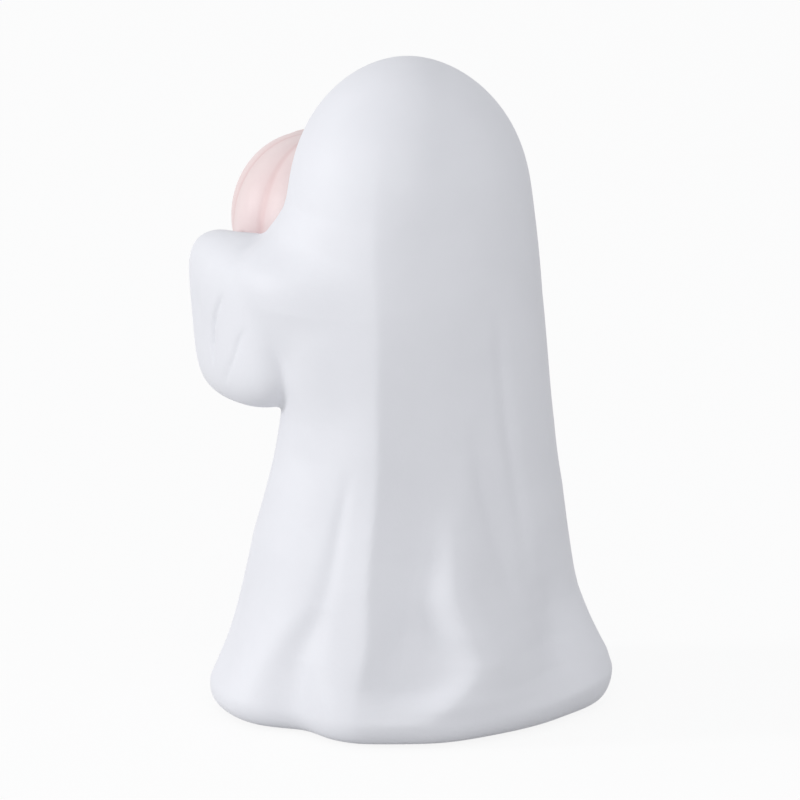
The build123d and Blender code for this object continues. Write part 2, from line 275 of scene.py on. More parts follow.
sleeve = {
    "bottomFront": 66.2,  # the sleeve's lower edge rises towards the back
    "bottomRear": 70.6,
    "bottomReach": 36.0,
    "top": 107.2,
    "side": 27.4,  # middle of the sleeve beside the body's axis
    "halfThick": 11.9,
    "frontLow": -38.5,  # where the sleeve ends in front, at its bottom and its top
    "frontHigh": -48.8,
    "rearLow": -3.0,  # and behind
    "rearHigh": -2.0,
    "pastEnds": 0.2,  # the front and rear lines run on by this share below and above
    "rearShift": {1: 5.5, -1: -5.0},  # the left arm's sheet starts further back
    "yaw": 6.0,  # degrees that the arm turns in
    "fullnessPlan": 2.7,  # power of the level sections: 2 is an ellipse, more is squarer
    "fullnessLow": 5.0,  # and of the side line below and above
    "fullnessHigh": 5.0,
    "filletLow": 1.4,  # fillet under the sleeve, where it meets the body in a crease
    "filletHigh": 12.0,  # fillet over the shoulder
    "filletFrom": 80.0,
    "filletTo": 108.0,
    "filletFront": 3.0,  # fillet in front, beside the pumpkin
    "frontFrom": -8.0,
    "frontTo": -18.0,
    "wrinkleWidth": 0.9,
    "wrinkleDepth": 0.55,
    "dipPlace": (20.0, -32.0, 105.0),  # the sheet dips beside the pumpkin
    "dipReach": 8.0,
    "dipDepth": 3.0,
}

# Creases of a sleeve: (height, turn round the arm from its outer side, push out, half width)
sleeveCreases = {
    "longCrease": ((78, 0, 0.0, 2), (81, 0.5, -0.6, 2), (86, 2.5, -1.0, 2), (91, 7.5, -1.0, 2),
                   (94, 14, -0.7, 2), (97, 20, 0.0, 2)),
    "shortCrease": ((75, 14, 0.0, 2), (78, 19, -0.4, 2), (82, 27, -0.55, 2), (87, 34, -0.5, 2),
                    (91, 40, 0.0, 2)),
    "endCrease": ((84, -22, 0.0, 4), (90, -20, -0.4, 4), (97, -18, 0.0, 4)),
}

# Wrinkles on top of a sleeve, beside the pumpkin: start and end of each line
sleeveWrinkles = (
    ((24.3, -31.7, 103.3), (27.6, -32.4, 102.2)),
    ((22.8, -31.4, 103.4), (26.6, -31.5, 101.7)),
)


def nearPlace(points, place):
    # distance from a place
    return np.sqrt(sum((part - at) ** 2 for part, at in zip(points, place)))


def nearLine(points, start, end):
    # distance from a line between two places
    way = np.subtract(end, start)
    offset = [part - place for part, place in zip(points, start)]
    along = np.clip(sum(part * step for part, step in zip(offset, way)) / way.dot(way), 0, 1)
    return np.sqrt(sum((part - along * step) ** 2 for part, step in zip(offset, way)))


def sleeveField(x, y, z, side):
    yaw = math.radians(sleeve["yaw"])
    forward = np.clip(-y / sleeve["bottomReach"], 0, 1)
    bottom = sleeve["bottomRear"] + (sleeve["bottomFront"] - sleeve["bottomRear"]) * forward
    rise = np.clip((z - bottom) / (sleeve["top"] - bottom), -sleeve["pastEnds"], 1 + sleeve["pastEnds"])
    front = sleeve["frontLow"] + (sleeve["frontHigh"] - sleeve["frontLow"]) * rise
    rear = sleeve["rearLow"] + (sleeve["rearHigh"] - sleeve["rearLow"]) * rise + sleeve["rearShift"][side]
    out = side * x - sleeve["side"]
    ahead = y - (front + rear) / 2
    across = out * math.cos(yaw) - ahead * math.sin(yaw)
    along = out * math.sin(yaw) + ahead * math.cos(yaw)
    halfLength = (rear - front) / 2
    plan = sleeve["fullnessPlan"]
    level = np.abs(across / sleeve["halfThick"]) ** plan + np.abs(along / halfLength) ** plan
    power = np.where(rise > 0.5, sleeve["fullnessHigh"], sleeve["fullnessLow"])
    field = (np.sqrt(level ** (2 / plan) + np.abs(2 * rise - 1) ** power) - 1) * sleeve["halfThick"]
    turn = np.degrees(np.arctan2(along / halfLength, across / sleeve["halfThick"]))
    return field - foldPush(sleeveCreases, turn, z, {})


def figureField(x, y, z):
    field = drapeField(x, y, z)
    lift = easeStep(sleeve["filletFrom"], sleeve["filletTo"], z)
    rear = easeStep(sleeve["frontTo"], sleeve["frontFrom"], y)
    most = sleeve["filletFront"] + (sleeve["filletHigh"] - sleeve["filletFront"]) * rear
    fillet = sleeve["filletLow"] + (most - sleeve["filletLow"]) * lift
    for side in (1, -1):
        field = mergeSoft(field, sleeveField(x, y, z, side), fillet)
    dip = nearPlace((np.abs(x), y, z), sleeve["dipPlace"])
    field = field + sleeve["dipDepth"] * np.exp(-(dip / sleeve["dipReach"]) ** 2)
    for start, end in sleeveWrinkles:
        away = nearLine((np.abs(x), y, z), start, end)
        field = field + sleeve["wrinkleDepth"] * np.exp(-(away / sleeve["wrinkleWidth"]) ** 2)
    return field


# Eyes: dark ovals sunk into the head

eye = {
    "halfWidth": 3.2,
    "halfHeight": 4.5,
    "apart": 18.0,
    "level": 131.5,
    "sink": 1.1,
    "proud": 0.45,
    "gap": 0.12,
    "fullness": 2.3,
    "skinRadius": 25.0,  # of the head round the eye
    "skinFrom": -30.0,  # the skin is looked for between these depths
    "skinTo": -10.0,
    "skinSteps": 400,
    "slopeStep": 0.5,
    "baseShare": 0.97,  # the inlay's base is a little narrower
    "baseLift": 0.1,
    "edgeLift": 0.25,
    "domeTurns": (12, 25, 40, 55, 68, 80),  # rings of the domed front
    "columns": 64,
    "cloudNoise": (600, 2),
    "colours": ((0.3, (0.012, 0.012, 0.014)), (0.7, (0.022, 0.021, 0.023))),
    "roughness": 0.16,
    "coat": 0.4,
}


def eyeAxes(side):
    # middle of one eye on the skin, with the directions across, up and out
    x = side * eye["apart"] / 2
    depths = np.linspace(eye["skinFrom"], eye["skinTo"], eye["skinSteps"])
    y = np.interp(0, -drapeField(x, depths, eye["level"]), depths)
    middle = np.array((x, y, eye["level"]))
    slope = [drapeField(*(middle + eye["slopeStep"] * way)) for way in np.eye(3)]
    out = Vector(slope).normalized()
    across = Vector((-out.y, out.x, 0)).normalized()
    return middle, np.array(across), np.array(out.cross(across)), np.array(out)


def pocketField(x, y, z, side):
    middle, across, up, out = eyeAxes(side)
    offset = (x - middle[0], y - middle[1], z - middle[2])
    u, v, w = (sum(part * way for part, way in zip(offset, axis)) for axis in (across, up, out))
    power = eye["fullness"]
    wide = eye["halfWidth"] + eye["gap"]
    high = eye["halfHeight"] + eye["gap"]
    oval = (np.abs(u) / wide) ** power + (np.abs(v) / high) ** power
    return np.maximum((oval ** (1 / power) - 1) * eye["halfWidth"], -eye["sink"] - w)


# Hollow of the figure: the mouth inside the foot and the drained inside above it

hollow = {
    "mouthHalfWidth": 34.3,
    "mouthHalfDepth": 28.0,
    "mouthLow": -1.5,  # the cutter starts under the foot
    "floor": 6.9,
    "crownShare": 0.995,  # share of the dome's rise at the topmost ring, which stays open
    "columns": 120,
    "rows": 44,
    "rimAngle": 0.7,  # in radians, sharper edges of the hollow show as edges
}


def hollowMesh():
    turns = np.linspace(0, 360, hollow["columns"], endpoint=False)
    angle = np.radians(turns)

    def ring(radius, level):
        return np.stack((radius * np.cos(angle), radius * np.sin(angle), np.full_like(angle, level)), axis=1)

    mouth = hollow["mouthHalfWidth"] * hollow["mouthHalfDepth"] / np.hypot(
        hollow["mouthHalfDepth"] * np.cos(angle), hollow["mouthHalfWidth"] * np.sin(angle))
    rings = [ring(mouth, hollow["mouthLow"]), ring(mouth, hollow["floor"])]
    high = drape["top"] - drape["wall"]
    shares = np.sin(np.linspace(0, math.pi / 2, hollow["rows"]))
    for level in hollow["floor"] + (high - hollow["floor"]) * shares:
        rise = min(max(level - drape["domeFrom"], 0) / (high - drape["domeFrom"]), hollow["crownShare"])
        side = drapeRadius(turns, np.full_like(turns, level)) - drape["wall"]
        rings.append(ring(side * (1 - rise ** drape["domeFullness"]) ** (1 / drape["crownFullness"]), level))
    return ringMesh("hollowCutter", rings)


# Materials: a noise is (scale, detail, roughness, stretch), a bump is (height in metres, strength)

def newMaterial(name):
    made = bpy.data.materials.new(name)
    made.use_nodes = True
    return made, made.node_tree, made.node_tree.nodes["Principled BSDF"]


def noiseNode(tree, scale, detail=4, rough=0.5, stretch=(1, 1, 1)):
    noise = tree.nodes.new("ShaderNodeTexNoise")
    noise.inputs["Scale"].default_value = scale
    noise.inputs["Detail"].default_value = detail
    noise.inputs["Roughness"].default_value = rough
    place = tree.nodes.new("ShaderNodeTexCoord")
    shape = tree.nodes.new("ShaderNodeMapping")
    shape.inputs["Scale"].default_value = stretch
    tree.links.new(place.outputs["Object"], shape.inputs["Vector"])
    tree.links.new(shape.outputs["Vector"], noise.inputs["Vector"])
    return noise


def rampNode(tree, source, stops):
    ramp = tree.nodes.new("ShaderNodeValToRGB")
    marks = ramp.color_ramp.elements
    while len(marks) < len(stops):
        marks.new(0.5)
    for mark, (place, colour) in zip(marks, stops):
        mark.position = place
        mark.color = (*colour, 1) if hasattr(colour, "__len__") else (colour, colour, colour, 1)
    tree.links.new(source, ramp.inputs["Fac"])
    return ramp.outputs["Color"]


def mixColour(tree, amount, one, other, blend="MIX"):
    mix = tree.nodes.new("ShaderNodeMix")
    mix.data_type = "RGBA"
    mix.blend_type = blend
    for socket, value in (("Factor", amount), ("A", one), ("B", other)):
        slot = [s for s in mix.inputs if s.name == socket and s.enabled][0]
        if hasattr(value, "links"):
            tree.links.new(value, slot)
        elif hasattr(value, "__len__"):
            slot.default_value = (*value, 1)
        else:
            slot.default_value = value
    return [s for s in mix.outputs if s.enabled][0]


def bumpNode(tree, height, distance, strength, under=None):
    bump = tree.nodes.new("ShaderNodeBump")
    bump.inputs["Distance"].default_value = distance
    bump.inputs["Strength"].default_value = strength
    tree.links.new(height, bump.inputs["Height"])
    if under:
        tree.links.new(under, bump.inputs["Normal"])
    return bump.outputs["Normal"]


glaze = {
    "white": (0.79, 0.795, 0.835),
    "whiteThin": (0.765, 0.77, 0.81),  # where the glaze is thinner
    "cloudNoise": (45, 3),
    "cloudStops": ((0.35, 0.0), (0.65, 1.0)),
    "pinhole": (0.42, 0.42, 0.45),
    "pinholeScale": 110,
    "pinholeStops": ((0.016, 1.0), (0.032, 0.0)),  # size of a pinhole in its cell
    "pinholeRare": ((0.90, 0.0), (0.905, 1.0)),  # and the few cells that have one
    "waveNoise": (260, 2, 0.5),
    "waveBump": (0.00012, 0.25),
    "grainNoise": (1500, 3, 0.6),
    "grainBump": (0.00006, 0.3),
    "roughness": 0.58,
}


def whiteGlaze():
    made, tree, shader = newMaterial("white_glaze")
    cloud = rampNode(tree, noiseNode(tree, *glaze["cloudNoise"]).outputs["Fac"], glaze["cloudStops"])
    colour = mixColour(tree, cloud, glaze["whiteThin"], glaze["white"])
    cells = tree.nodes.new("ShaderNodeTexVoronoi")
    cells.inputs["Scale"].default_value = glaze["pinholeScale"]
    place = tree.nodes.new("ShaderNodeTexCoord")
    tree.links.new(place.outputs["Object"], cells.inputs["Vector"])
    dot = rampNode(tree, cells.outputs["Distance"], glaze["pinholeStops"])
    spare = tree.nodes.new("ShaderNodeSeparateColor")
    tree.links.new(cells.outputs["Color"], spare.inputs["Color"])
    rare = rampNode(tree, spare.outputs["Red"], glaze["pinholeRare"])
    hole = mixColour(tree, 1.0, dot, rare, "MULTIPLY")
    colour = mixColour(tree, hole, colour, glaze["pinhole"])
    tree.links.new(colour, shader.inputs["Base Color"])
    shader.inputs["Roughness"].default_value = glaze["roughness"]
    wave = noiseNode(tree, *glaze["waveNoise"])
    grain = noiseNode(tree, *glaze["grainNoise"])
    normal = bumpNode(tree, wave.outputs["Fac"], *glaze["waveBump"])
    normal = bumpNode(tree, grain.outputs["Fac"], *glaze["grainBump"], normal)
    tree.links.new(normal, shader.inputs["Normal"])
    return made


clay = {
    "bisque": (0.72, 0.70, 0.66),
    "speck": (0.66, 0.63, 0.585),
    "speckNoise": (700, 5, 0.6),
    "speckStops": ((0.35, 0.0), (0.7, 1.0)),
    "grainNoise": (900, 4),
    "grainBump": (0.0001, 0.4),
    "roughness": 0.88,
}


def bareClay():
    made, tree, shader = newMaterial("bare_clay")
    speck = rampNode(tree, noiseNode(tree, *clay["speckNoise"]).outputs["Fac"], clay["speckStops"])
    tree.links.new(mixColour(tree, speck, clay["speck"], clay["bisque"]), shader.inputs["Base Color"])
    shader.inputs["Roughness"].default_value = clay["roughness"]
    grain = noiseNode(tree, *clay["grainNoise"])
    tree.links.new(bumpNode(tree, grain.outputs["Fac"], *clay["grainBump"]), shader.inputs["Normal"])
    return made


whiteMaterial = whiteGlaze()
clayMaterial = bareClay()

# Cast the figure in one piece, hollow it, then part the sleeves from the body

x, y, z = clayPoints(drape["low"], drape["high"], drape["voxel"])
field = figureField(x, y, z)
for side in (1, -1):
    field = np.maximum(field, -pocketField(x, y, z, side))
castMesh = clayMesh("castFigure", field, drape["low"], drape["voxel"])
cast = bpy.data.objects.new("castFigure", castMesh)
cutter = bpy.data.objects.new("hollowCutter", hollowMesh())
bpy.context.scene.collection.objects.link(cast)
bpy.context.scene.collection.objects.link(cutter)
for mesh in (castMesh, cutter.data):
    mesh.materials.append(whiteMaterial)
    mesh.materials.append(clayMaterial)
cutter.data.polygons.foreach_set("material_index", np.ones(len(cutter.data.polygons), int))
cut = cast.modifiers.new("hollow", "BOOLEAN")
cut.operation = "DIFFERENCE"
cut.solver = "MANIFOLD"
cut.object = cutter
hollowed = bpy.data.meshes.new_from_object(cast.evaluated_get(bpy.context.evaluated_depsgraph_get()))
bpy.data.objects.remove(cast)
bpy.data.objects.remove(cutter)
print("figure cast:", len(hollowed.polygons), "faces")


def markRims(mesh):
    # edges between the glazed outside and the bare inside are sharp
    skin = bmesh.new()
    skin.from_mesh(mesh)
    for edge in skin.edges:
        if len(edge.link_faces) == 2:
            bare = sum(face.material_index for face in edge.link_faces)
            corner = bare == 2 and edge.calc_face_angle() > hollow["rimAngle"]
            edge.smooth = bare != 1 and not corner
    skin.to_mesh(mesh)
    skin.free()


def openLoop(faces):
    # the one loop of edges that only one of these faces has, in order
    edges = {}
    for face in faces:
        for a, b in zip(face, face[1:] + face[:1]):
            if (b, a) in edges:
                del edges[b, a]
            else:
                edges[a, b] = True
    following = {a: b for a, b in edges}
    start = next(iter(following))
    loop = [start]
    while following[loop[-1]] != start:
        loop.append(following[loop[-1]])
    return loop


# Seam: the hidden wall between a sleeve and the body
seam = {
    "steps": (0.8, 0.6, 0.4, 0.2),  # its rings, as shares of the open loop
    "inset": 0.3,  # how far it lies under the sheet
    "skinDepth": 1.5,  # faces deeper than this belong to the hollow
}


def ontoSheet(ring):
    # the ring moved in or out to just under the sheet of the body
    turn = np.degrees(np.arctan2(ring[:, 1], ring[:, 0]))
    reach = drapeRadius(turn, ring[:, 2]) - seam["inset"]
    ring[:, :2] *= (reach / np.hypot(ring[:, 0], ring[:, 1]))[:, None]
    return ring


def seamPoints(points, loop):
    edge = points[loop] / mm
    middle = edge.mean(axis=0)
    rings = [ontoSheet(middle + (edge - middle) * share) for share in seam["steps"]]
    return np.concatenate(rings + [ontoSheet(middle[None])]) * mm


def seamFaces(loop, firstNew):
    # quads from the loop in to the last ring and a fan at the middle, facing away from the loop's own faces
    count = len(loop)
    rows = [list(loop)]
    for row in range(len(seam["steps"])):
        rows.append([firstNew + row * count + i for i in range(count)])
    faces = []
    for outer, inner in zip(rows, rows[1:]):
        for i in range(count):
            j = (i + 1) % count
            faces.append((outer[j], outer[i], inner[i], inner[j]))
    tip = firstNew + len(seam["steps"]) * count
    for i in range(count):
        faces.append((rows[-1][(i + 1) % count], rows[-1][i], tip))
    return faces


def faceOwners(middles, insides):
    # 1 and -1 for the faces of the left and the right sleeve, 0 for those of the body
    x, y, z = middles.T
    skin = (figureField(x, y, z) > -seam["skinDepth"]) & (insides == 0)
    body = drapeField(x, y, z)
    owner = np.zeros(len(middles), int)
    for side in (1, -1):
        owner[skin & (sleeveField(x, y, z, side) < body) & (x * side > 0)] = side
    return owner


def makePiece(name, points, faces, kinds, normals, seamCount):
    # one closed piece with its own points; the last faces are those of its seams
    used = np.unique(np.concatenate([np.array(face) for face in faces]))
    place = np.full(len(points), -1)
    place[used] = np.arange(len(used))
    piece = bpy.data.meshes.new(name)
    piece.from_pydata(points[used].tolist(), [], [tuple(place[list(face)].tolist()) for face in faces])
    piece.materials.append(whiteMaterial)
    piece.materials.append(clayMaterial)
    piece.polygons.foreach_set("material_index", kinds)
    piece.polygons.foreach_set("use_smooth", np.ones(len(faces), bool))
    piece.update()
    flat = readAll(piece.polygons, "normal", float, 3)[-seamCount:]
    flat = np.repeat(flat, [len(face) for face in faces[-seamCount:]], axis=0)
    piece.normals_split_custom_set(np.concatenate((normals, flat)).tolist())
    return putDown(piece)


def partPieces(mesh):
    points = readAll(mesh.vertices, "co", float, 3)
    starts = readAll(mesh.polygons, "loop_start")
    totals = readAll(mesh.polygons, "loop_total")
    corners = readAll(mesh.loops, "vertex_index")
    insides = readAll(mesh.polygons, "material_index")
    normals = readAll(mesh.corner_normals, "vector", float, 3)
    faces = [tuple(corners[s:s + t].tolist()) for s, t in zip(starts, totals)]
    owner = faceOwners(readAll(mesh.polygons, "center", float, 3) / mm, insides)
    sides = {"body_skin": 0, "left_sleeve_skin": 1, "right_sleeve_skin": -1}
    kept = {name: [faces[i] for i in np.flatnonzero(owner == side)] for name, side in sides.items()}
    loops = {name: openLoop(kept[name]) for name, side in sides.items() if side}
    made = {}
    for name, side in sides.items():
        own = owner == side
        allPoints = points
        extra = []
        for sleeveName, loop in loops.items():
            if name in (sleeveName, "body_skin"):
                way = loop if name == sleeveName else loop[::-1]
                extra += seamFaces(way, len(allPoints))
                allPoints = np.concatenate((allPoints, seamPoints(points, way)))
        kinds = np.concatenate((insides[own], np.zeros(len(extra), int)))
        picked = np.concatenate([np.arange(s, s + t) for s, t in zip(starts[own], totals[own])])
        made[name] = makePiece(name, allPoints, kept[name] + extra, kinds, normals[picked], len(extra))
    return made


markRims(hollowed)
figure = partPieces(hollowed)
for name, node in (("body_skin", "body_shell"), ("left_sleeve_skin", "left_sleeve"),
                   ("right_sleeve_skin", "right_sleeve")):
    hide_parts(node)
    print("parted:", name, len(figure[name].data.polygons), "faces")


# Pumpkin

pumpkin = {
    "width": 43.4,
    "height": 40.0,
    "reach": 40.8,  # its axis in front of the body's axis
    "level": 103.2,
    "lobes": 9,
    "lobeRadius": 18.6,
    "grooveDepth": 1.4,
    "groovePlace": 17.0,  # turn of the first groove
    "grooveRound": 0.012,  # softens the bottom of a groove
    "grooveOffset": 0.06,
    "gap": 0.15,  # film between it and the white glaze
    "voxel": 0.5,  # grain of the clay grid, whose corners come next
    "low": (-23, -64.5, 80),
    "high": (23, -18, 124),
    # pink from the groove colour (first stop) to the lobe crests; the darker groove colour is painted shade
    "colours": ((0.0, (0.74, 0.55, 0.545)), (0.3, (0.80, 0.65, 0.645)), (1.0, (0.815, 0.685, 0.68))),
    "streakNoise": (90, 4, 0.55, (1, 1, 0.25)),
    "streakStops": ((0.35, 0.0), (0.68, 1.0)),
    "streakShare": 0.12,
    "grainNoise": (900, 3),
    "grainBump": (0.00006, 0.3),
    "roughness": 0.5,
}


def lobeCrest(turn):
    # 0 in a groove, 1 on the crest of a lobe
    phase = np.radians((turn - pumpkin["groovePlace"]) * pumpkin["lobes"] / 2)
    return np.sqrt(np.sin(phase) ** 2 + pumpkin["grooveRound"]) - pumpkin["grooveOffset"]


def pumpkinField(x, y, z):
    ahead = y + pumpkin["reach"]
    up = (z - pumpkin["level"]) / (pumpkin["height"] / 2)
    reach = np.hypot(x, ahead)
    crest = lobeCrest(np.degrees(np.arctan2(ahead, x)))
    groove = (1 - crest) * pumpkin["grooveDepth"] / (pumpkin["width"] / 2)
    orbit = pumpkin["width"] / 2 - pumpkin["lobeRadius"]
    across = (reach / (1 - groove) - orbit) / pumpkin["lobeRadius"]
    return (np.hypot(across, up) - 1) * pumpkin["lobeRadius"]


x, y, z = clayPoints(pumpkin["low"], pumpkin["high"], pumpkin["voxel"])
field = np.maximum(pumpkinField(x, y, z), pumpkin["gap"] - figureField(x, y, z))
pumpkinMesh = clayMesh("pumpkin_rind", field, pumpkin["low"], pumpkin["voxel"])


def pinkGlaze():
    # darker and redder in the grooves, which is painted shade there; the grooves' place is kept on the mesh
    made, tree, shader = newMaterial("pink_glaze")
    place = tree.nodes.new("ShaderNodeAttribute")
    place.attribute_name = "lobeCrest"
    streak = noiseNode(tree, *pumpkin["streakNoise"])
    soft = rampNode(tree, streak.outputs["Fac"], pumpkin["streakStops"])
    # painted shade: the colour darkens towards the grooves, read from their place on the mesh
    colour = rampNode(tree, place.outputs["Fac"], pumpkin["colours"])
    colour = mixColour(tree, pumpkin["streakShare"], colour, soft, "SOFT_LIGHT")
    tree.links.new(colour, shader.inputs["Base Color"])
    shader.inputs["Roughness"].default_value = pumpkin["roughness"]
    grain = noiseNode(tree, *pumpkin["grainNoise"])
    tree.links.new(bumpNode(tree, grain.outputs["Fac"], *pumpkin["grainBump"]), shader.inputs["Normal"])
    return made


def storeCrest(mesh):
    x, y = (readAll(mesh.vertices, "co", float, 3)[:, :2] / mm).T
    crest = lobeCrest(np.degrees(np.arctan2(y + pumpkin["reach"], x)))
    store = mesh.attributes.new("lobeCrest", "FLOAT", "POINT")
    store.data.foreach_set("value", crest.astype(np.float32))


storeCrest(pumpkinMesh)
pumpkinMesh.materials.append(pinkGlaze())
rind = putDown(pumpkinMesh)
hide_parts("pumpkin")
print("pumpkin made:", len(pumpkinMesh.polygons), "faces")


# Stem: a ribbed stub that leans to one side

stem = {
    "root": 15.8,  # heights above the pumpkin's middle
    "tip": 23.9,
    "halfWidthRoot": 2.2,
    "halfWidthTip": 1.6,
    "lean": 1.1,  # to the ghost's right
    "taper": 1.6,
    "flange": 0.35,  # the cut end flares a little
    "flangeReach": 0.1,
    "ribs": 5,
    "ribDepth": 0.28,
    "twist": 0.5,
    "columns": 60,
    "rows": 16,
    "tipRings": ((0.82, -0.12), (0.5, 0.12), (0.15, 0.2)),  # share of the width and drop, over the end
    "streakNoise": (500, 4, 0.6, (1, 1, 0.2)),
    "colours": ((0.3, (0.29, 0.27, 0.16)), (0.7, (0.43, 0.40, 0.26))),
    "bump": (0.0001, 0.4),
    "roughness": 0.5,
}


def stemMesh():
    angle = np.linspace(0, 2 * math.pi, stem["columns"], endpoint=False)
    rings = []
    for row in range(stem["rows"] + 1):
        t = row / stem["rows"]
        level = pumpkin["level"] + stem["root"] + (stem["tip"] - stem["root"]) * t
        widen = (stem["halfWidthRoot"] - stem["halfWidthTip"]) * (1 - t) ** stem["taper"]
        half = stem["halfWidthTip"] + widen + stem["flange"] * math.exp(-((t - 1) / stem["flangeReach"]) ** 2)
        rib = half + stem["ribDepth"] * np.cos(stem["ribs"] * angle + stem["twist"] * t)
        across = rib * np.cos(angle) - stem["lean"] * t * t
        ahead = rib * np.sin(angle) - pumpkin["reach"]
        rings.append(np.stack((across, ahead, np.full_like(angle, level)), axis=1))
    top = rings[-1]
    middle = top.mean(axis=0)
    for share, drop in stem["tipRings"]:
        ring = middle + (top - middle) * share
        ring[:, 2] -= drop
        rings.append(ring)
    return ringMesh("pumpkin_stem_stub", rings)


def stemGlaze():
    made, tree, shader = newMaterial("stem_glaze")
    streak = noiseNode(tree, *stem["streakNoise"])
    tree.links.new(rampNode(tree, streak.outputs["Fac"], stem["colours"]), shader.inputs["Base Color"])
    shader.inputs["Roughness"].default_value = stem["roughness"]
    tree.links.new(bumpNode(tree, streak.outputs["Fac"], *stem["bump"]), shader.inputs["Normal"])
    return made


stemPiece = putDown(stemMesh())
stemPiece.data.materials.append(stemGlaze())
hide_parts("pumpkin_stem")


# Eye inlays

def eyeMesh(name, side):
    middle, across, up, out = eyeAxes(side)
    angle = np.linspace(0, 2 * math.pi, eye["columns"], endpoint=False)
    power = 2 / eye["fullness"]
    u = eye["halfWidth"] * np.sign(np.cos(angle)) * np.abs(np.cos(angle)) ** power
    v = eye["halfHeight"] * np.sign(np.sin(angle)) * np.abs(np.sin(angle)) ** power
    bend = 2 * eye["skinRadius"]

    def ring(share, height):
        drop = (share * u) ** 2 / bend + (share * v) ** 2 / bend
        return middle + np.outer(share * u, across) + np.outer(share * v, up) + np.outer(height - drop, out)

    rings = [ring(eye["baseShare"], eye["baseLift"] - eye["sink"])]
    rings += [ring(1.0, eye["edgeLift"] - eye["sink"]), ring(1.0, 0.0)]
    for lean in np.radians(eye["domeTurns"]):
        rings.append(ring(math.cos(lean), eye["proud"] * math.sin(lean)))
    return ringMesh(name, rings)


def eyeGlaze():
    made, tree, shader = newMaterial("eye_glaze")
    cloud = noiseNode(tree, *eye["cloudNoise"])
    tree.links.new(rampNode(tree, cloud.outputs["Fac"], eye["colours"]), shader.inputs["Base Color"])
    shader.inputs["Roughness"].default_value = eye["roughness"]
    shader.inputs["Coat Weight"].default_value = eye["coat"]
    return made


eyeMaterial = eyeGlaze()
for name, side, node in (("left_eye_oval", 1, "left_eye"), ("right_eye_oval", -1, "right_eye")):
    oval = putDown(eyeMesh(name, side))
    oval.data.materials.append(eyeMaterial)
    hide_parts(node)
print("stem and eyes made")


# Base: the disc, felt and stopper keep their shapes and get their finishes

felt = {
    "fibreNoise": (2600, 6, 0.7),
    "fibreBump": (0.0003, 0.7),
    "colours": ((0.3, (0.40, 0.385, 0.355)), (0.72, (0.64, 0.62, 0.58))),
    "blotchNoise": (160, 3),
    "blotchShare": 0.25,
    "roughness": 0.96,
    "sheen": 0.5,
}

plug = {
    "cloudNoise": (220, 4),
    "colours": ((0.3, (0.70, 0.70, 0.675)), (0.7, (0.77, 0.77, 0.745))),
    "grainNoise": (1600, 2),
    "grainBump": (0.00004, 0.3),
    "roughness": 0.42,
    "softness": 0.1,
}


def feltMaterial():
    made, tree, shader = newMaterial("grey_felt")
    fibre = noiseNode(tree, *felt["fibreNoise"])
    blotch = noiseNode(tree, *felt["blotchNoise"])
    colour = rampNode(tree, fibre.outputs["Fac"], felt["colours"])
    colour = mixColour(tree, felt["blotchShare"], colour, blotch.outputs["Color"], "SOFT_LIGHT")
    tree.links.new(colour, shader.inputs["Base Color"])
    shader.inputs["Roughness"].default_value = felt["roughness"]
    shader.inputs["Sheen Weight"].default_value = felt["sheen"]
    tree.links.new(bumpNode(tree, fibre.outputs["Fac"], *felt["fibreBump"]), shader.inputs["Normal"])
    return made


def plugMaterial():
    made, tree, shader = newMaterial("soft_plug")
    cloud = noiseNode(tree, *plug["cloudNoise"])
    tree.links.new(rampNode(tree, cloud.outputs["Fac"], plug["colours"]), shader.inputs["Base Color"])
    shader.inputs["Roughness"].default_value = plug["roughness"]
    shader.inputs["Subsurface Weight"].default_value = plug["softness"]
    grain = noiseNode(tree, *plug["grainNoise"])
    tree.links.new(bumpNode(tree, grain.outputs["Fac"], *plug["grainBump"]), shader.inputs["Normal"])
    return made


baseFinishes = {"base_disc": clayMaterial, "felt_ring": feltMaterial(), "base_stopper": plugMaterial()}
for node, material in baseFinishes.items():
    nodes[node].data.materials.clear()
    nodes[node].data.materials.append(material)
print("base finished")


# Stage, light and camera

studio = {
    "azimuth": 152.0,
    "elevation": 15.0,
    "distance": 5.0,
    "field": 0.1808,  # width of the view at the figure
    "shiftRight": -0.00215,  # aim beside and above the middle of the foot
    "shiftUp": 0.06795,
    "sensor": 36.0,
    "ambient": 0.695,
    "ambientColour": (0.97, 0.98, 1.0, 1),
    "keyPower": 23.5,
    "keySize": 0.5,
    "keyWay": (-0.99, 0.128, 0.27),  # right, towards the camera, up
    "keyDistance": 2.5,
    "fillPower": 2.75,
    "fillSize": 0.9,
    "fillWay": (0.06, 0.99, 0.24),
    "fillDistance": 1.2,
    "floorWhite": 0.88,  # share of plain white that the camera sees, the rest keeps the shadow
    "floorPale": 0.95,
    "floorTones": ((0.3, 0.60), (0.7, 0.62)),  # as the floor lights the figure
    "floorNoise": (30, 2),
    "floorRoughness": 0.9,
    "floorHalf": 3.0,
    "floorLevel": -0.00005,
    "lampLevel": 0.075,  # height that the lamps point at
}


def cameraAxes():
    turn = math.radians(studio["azimuth"])
    lift = math.radians(studio["elevation"])
    right = Vector((math.cos(turn), math.sin(turn), 0))
    back = Vector((math.sin(turn) * math.cos(lift), -math.cos(turn) * math.cos(lift), math.sin(lift)))
    return right, back, back.cross(right)


def makeCamera():
    right, back, up = cameraAxes()
    camera = bpy.data.objects.new("camera", bpy.data.cameras.new("camera"))
    camera.data.sensor_width = studio["sensor"]
    camera.data.lens = studio["sensor"] * studio["distance"] / studio["field"]
    camera.location = right * studio["shiftRight"] + up * studio["shiftUp"] + back * studio["distance"]
    camera.rotation_mode = "QUATERNION"
    camera.rotation_quaternion = back.to_track_quat("Z", "Y")
    bpy.context.scene.collection.objects.link(camera)
    bpy.context.scene.camera = camera


